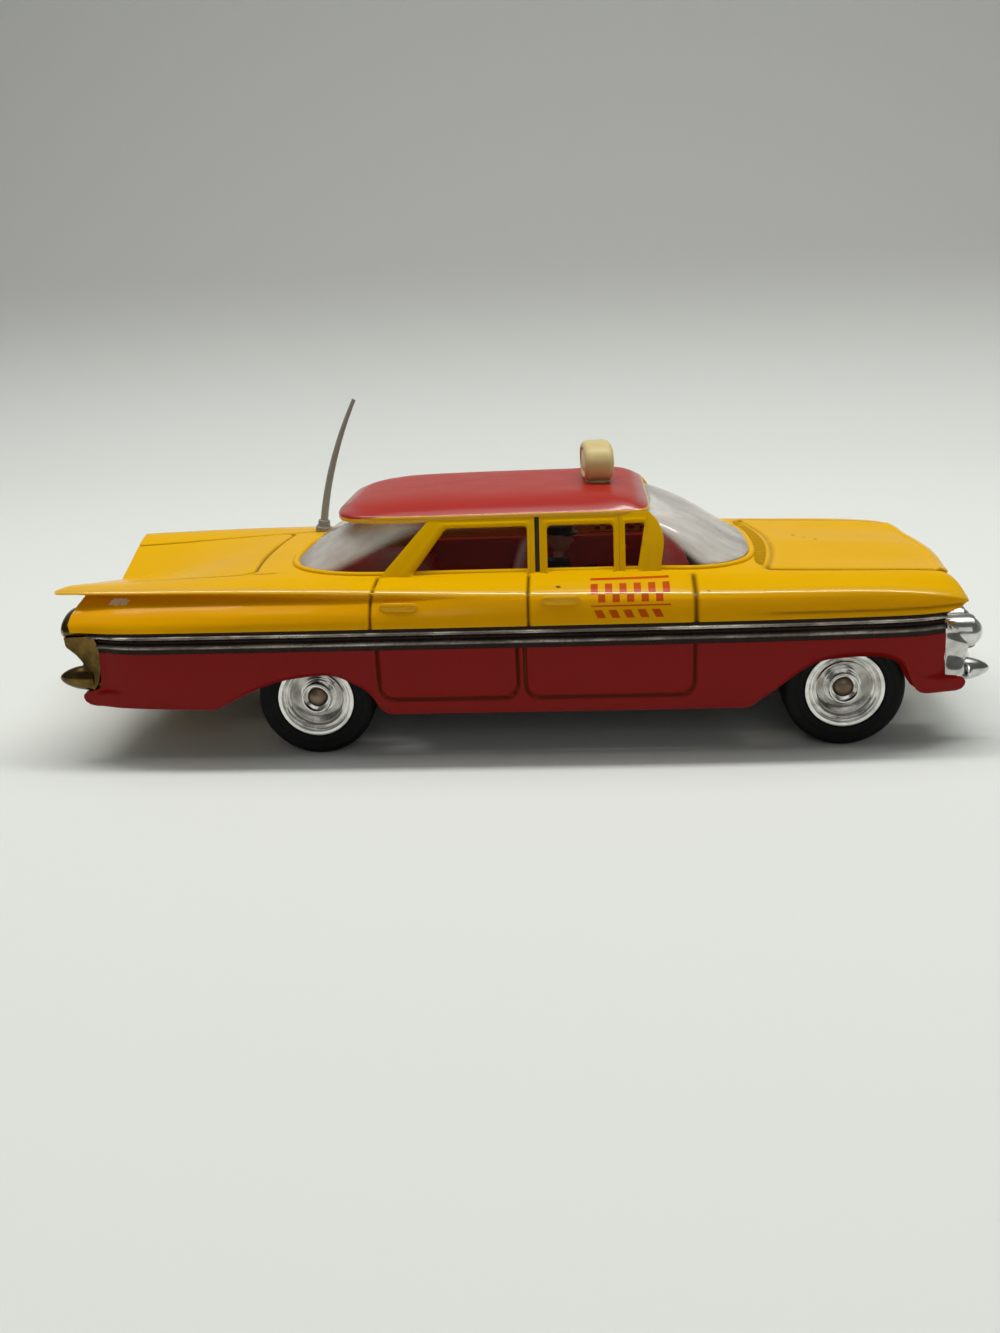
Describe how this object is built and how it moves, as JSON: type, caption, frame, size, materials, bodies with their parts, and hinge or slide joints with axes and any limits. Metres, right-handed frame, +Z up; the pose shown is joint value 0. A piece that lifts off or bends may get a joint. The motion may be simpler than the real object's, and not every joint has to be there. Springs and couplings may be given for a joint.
{
  "type": "toy taxi",
  "caption": "Die-cast toy saloon taxi in two colours with glazed cabin, seated driver, roof sign, whip aerial, plated bumpers and sprung rubber-tyred wheels.",
  "frame": {"origin": "on the ground under the middle of the car", "axes": "+X forward, +Y to the car's left, +Z up"},
  "size_m": [0.1084, 0.0412, 0.0385],
  "materials": {
    "paint": "gloss stove enamel, yellow above the side strip, red below it and on the roof",
    "base_paint": "satin",
    "glazing": "clear polystyrene, slightly hazy",
    "interior_plastic": "satin",
    "figure_plastic": "painted",
    "sign_plastic": "gloss",
    "aerial_plastic": "satin",
    "plating": "vacuum plated, worn",
    "axle_steel": "dull",
    "hub_metal": "turned and polished",
    "tyre_rubber": "smooth",
    "spring_steel": "dull"
  },
  "bodies": {
    "car": {"body_casting": "paint", "baseplate": "base_paint", "glazing_unit": "glazing", "interior_moulding": "interior_plastic", "steering_wheel": "interior_plastic", "driver_figure": "figure_plastic", "taxi_sign": "sign_plastic", "aerial": "aerial_plastic", "front_bumper_grille": "plating", "rear_bumper_lamps": "plating", "front_leaf_spring": "spring_steel", "rear_leaf_spring": "spring_steel"},
    "front_axle": {"front_axle": "axle_steel"},
    "rear_axle": {"rear_axle": "axle_steel"},
    "wheel_front_right": {"hub_front_right": "hub_metal", "tyre_front_right": "tyre_rubber"},
    "wheel_front_left": {"hub_front_left": "hub_metal", "tyre_front_left": "tyre_rubber"},
    "wheel_rear_right": {"hub_rear_right": "hub_metal", "tyre_rear_right": "tyre_rubber"},
    "wheel_rear_left": {"hub_rear_left": "hub_metal", "tyre_rear_left": "tyre_rubber"}
  },
  "joints": [
    {"name": "front_suspension", "type": "slide", "parent": "car", "child": "front_axle", "axis": [0, 0, 1], "range_m": [0, 0.0012], "stiffness_N_per_m": 800, "springref_m": -0.0008, "deforming": ["front_leaf_spring"]},
    {"name": "rear_suspension", "type": "slide", "parent": "car", "child": "rear_axle", "axis": [0, 0, 1], "range_m": [0, 0.0012], "stiffness_N_per_m": 800, "springref_m": -0.0008, "deforming": ["rear_leaf_spring"]},
    {"name": "spin_front_right", "type": "hinge", "parent": "front_axle", "child": "wheel_front_right", "pos_m": [0.0374, -0.0152, 0.0069], "axis": [0, 1, 0], "continuous": true},
    {"name": "spin_front_left", "type": "hinge", "parent": "front_axle", "child": "wheel_front_left", "pos_m": [0.0374, 0.0152, 0.0069], "axis": [0, 1, 0], "continuous": true},
    {"name": "spin_rear_right", "type": "hinge", "parent": "rear_axle", "child": "wheel_rear_right", "pos_m": [-0.0236, -0.0152, 0.0069], "axis": [0, 1, 0], "continuous": true},
    {"name": "spin_rear_left", "type": "hinge", "parent": "rear_axle", "child": "wheel_rear_left", "pos_m": [-0.0236, 0.0152, 0.0069], "axis": [0, 1, 0], "continuous": true}
  ]
}
